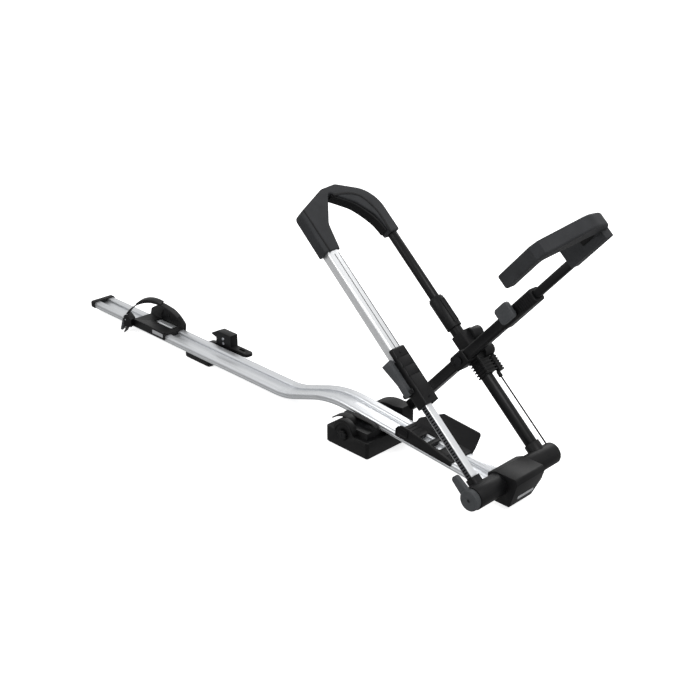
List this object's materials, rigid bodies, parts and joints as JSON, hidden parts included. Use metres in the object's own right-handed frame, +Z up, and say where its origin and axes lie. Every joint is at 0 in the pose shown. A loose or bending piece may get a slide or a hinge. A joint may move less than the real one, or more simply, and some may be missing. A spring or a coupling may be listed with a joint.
{
  "type": "roof mounted bike carrier",
  "caption": "Upright roof carrier: a bent double-ridge tray on two bar feet, with a folding wheel hoop, a crossed arm with a sliding hook, a front cradle and a rear strap holder.",
  "frame": {"origin": "middle of the front foot's underside, on the tray's centre plane", "axes": "+X forward along the tray towards the hinge shaft, +Y to the far side, +Z up"},
  "size_m": [1.7488, 0.3015, 0.693],
  "materials": {
    "anodised_aluminium": "satin anodised",
    "black_plastic": "fine grained, moulded",
    "grey_plastic": "fine grained, moulded",
    "black_paint": "semi-gloss powder coat",
    "foot_rubber": "matt",
    "plated_steel": "zinc plated",
    "strap_rubber": "smooth"
  },
  "bodies": {
    "carrier_frame": {"wheel_tray": "anodised_aluminium", "tray_end_cap": "black_plastic", "front_foot_base": "black_plastic", "front_foot_pad": "foot_rubber", "front_foot_bolts": "plated_steel", "arm_rest": "black_plastic", "rear_foot_base": "black_plastic", "rear_foot_pad": "foot_rubber", "rear_foot_bolts": "plated_steel", "rear_foot_bracket": "black_plastic", "pivot_housing": "black_plastic", "hinge_shaft": "plated_steel"},
    "hoop_lower": {"near_leg_inner": "anodised_aluminium", "near_leg_rack": "black_plastic", "near_barrel": "black_plastic", "far_barrel": "black_plastic", "far_leg_lower": "black_paint", "far_leg_collar": "black_plastic", "arm_pivot_housing": "black_plastic", "arm_pivot_bolt": "black_paint", "spring_barrel": "black_plastic", "tension_rod": "black_paint"},
    "hoop_upper": {"near_leg_outer": "anodised_aluminium", "top_arch": "black_plastic", "far_leg_upper": "black_paint", "ratchet_carriage": "black_plastic", "release_pin": "plated_steel"},
    "carriage_lever": {"release_lever": "grey_plastic", "release_pawl": "black_plastic"},
    "folding_arm": {"arm_bar": "black_paint", "arm_hub": "black_plastic", "arm_bush": "black_plastic", "arm_sleeve": "black_plastic"},
    "hook_release": {"hook_button": "grey_plastic"},
    "sliding_hook": {"hook_tube": "black_paint", "wheel_hook": "black_plastic"},
    "shaft_end_lever": {"shaft_lever": "grey_plastic"},
    "front_cradle": {"wheel_cradle": "black_plastic"},
    "wheel_holder": {"rear_holder": "black_plastic", "wheel_strap": "strap_rubber", "strap_pad": "strap_rubber", "strap_buckle": "black_plastic", "buckle_pin": "plated_steel", "strap_tail": "strap_rubber"},
    "strap_lever": {"buckle_lever": "grey_plastic"},
    "foot_knob": {"clamp_knob": "black_plastic"},
    "foot_lock": {"lock_cylinder": "black_paint"}
  },
  "joints": [
    {"name": "hoop_fold", "type": "hinge", "parent": "carrier_frame", "child": "hoop_lower", "pos_m": [0.417, 0, 0.059], "axis": [0, 1, 0], "range_deg": [-34, 0]},
    {"name": "hoop_extend", "type": "slide", "parent": "hoop_lower", "child": "hoop_upper", "axis": [-0.7462, 0, 0.6658], "range_m": [-0.055, 0.05]},
    {"name": "release_lever_swing", "type": "hinge", "parent": "hoop_upper", "child": "carriage_lever", "pos_m": [0.21702, -0.1065, 0.23742], "axis": [0.6658, 0, 0.7462], "range_deg": [0, 20], "stiffness_Nm_per_rad": 0.6, "springref_deg": -28.65},
    {"name": "arm_fold", "type": "hinge", "parent": "hoop_lower", "child": "folding_arm", "pos_m": [0.2021, 0, 0.25074], "axis": [0, 1, 0], "range_deg": [-75, 0]},
    {"name": "hook_extend", "type": "slide", "parent": "folding_arm", "child": "sliding_hook", "axis": [0.6658, 0, 0.7462], "range_m": [-0.09, 0.05]},
    {"name": "hook_button_press", "type": "slide", "parent": "folding_arm", "child": "hook_release", "axis": [0, 1, 0], "range_m": [0, 0.003], "stiffness_N_per_m": 900, "springref_m": -0.003},
    {"name": "shaft_lever_turn", "type": "hinge", "parent": "carrier_frame", "child": "shaft_end_lever", "pos_m": [0.417, 0, 0.059], "axis": [0, 1, 0], "range_deg": [0, 80]},
    {"name": "cradle_slide", "type": "slide", "parent": "carrier_frame", "child": "front_cradle", "axis": [0.9965, 0, -0.0839], "range_m": [-0.04, 0.06]},
    {"name": "holder_slide", "type": "slide", "parent": "carrier_frame", "child": "wheel_holder", "axis": [1, 0, 0], "range_m": [-0.12, 0.1]},
    {"name": "buckle_lever_swing", "type": "hinge", "parent": "wheel_holder", "child": "strap_lever", "pos_m": [-0.96763, -0.04733, 0.046], "axis": [0.4446, -0.8957, 0], "range_deg": [-70, 0]},
    {"name": "clamp_knob_turn", "type": "hinge", "parent": "carrier_frame", "child": "foot_knob", "pos_m": [-0.009, -0.0843, 0.04], "axis": [0, 1, 0], "continuous": true},
    {"name": "lock_turn", "type": "hinge", "parent": "foot_knob", "child": "foot_lock", "pos_m": [-0.009, -0.0843, 0.04], "axis": [0, 1, 0], "range_deg": [0, 90]}
  ],
  "couplings": [
    {"joint": "arm_fold", "follows": "hoop_fold", "ratio": 2.2058}
  ]
}
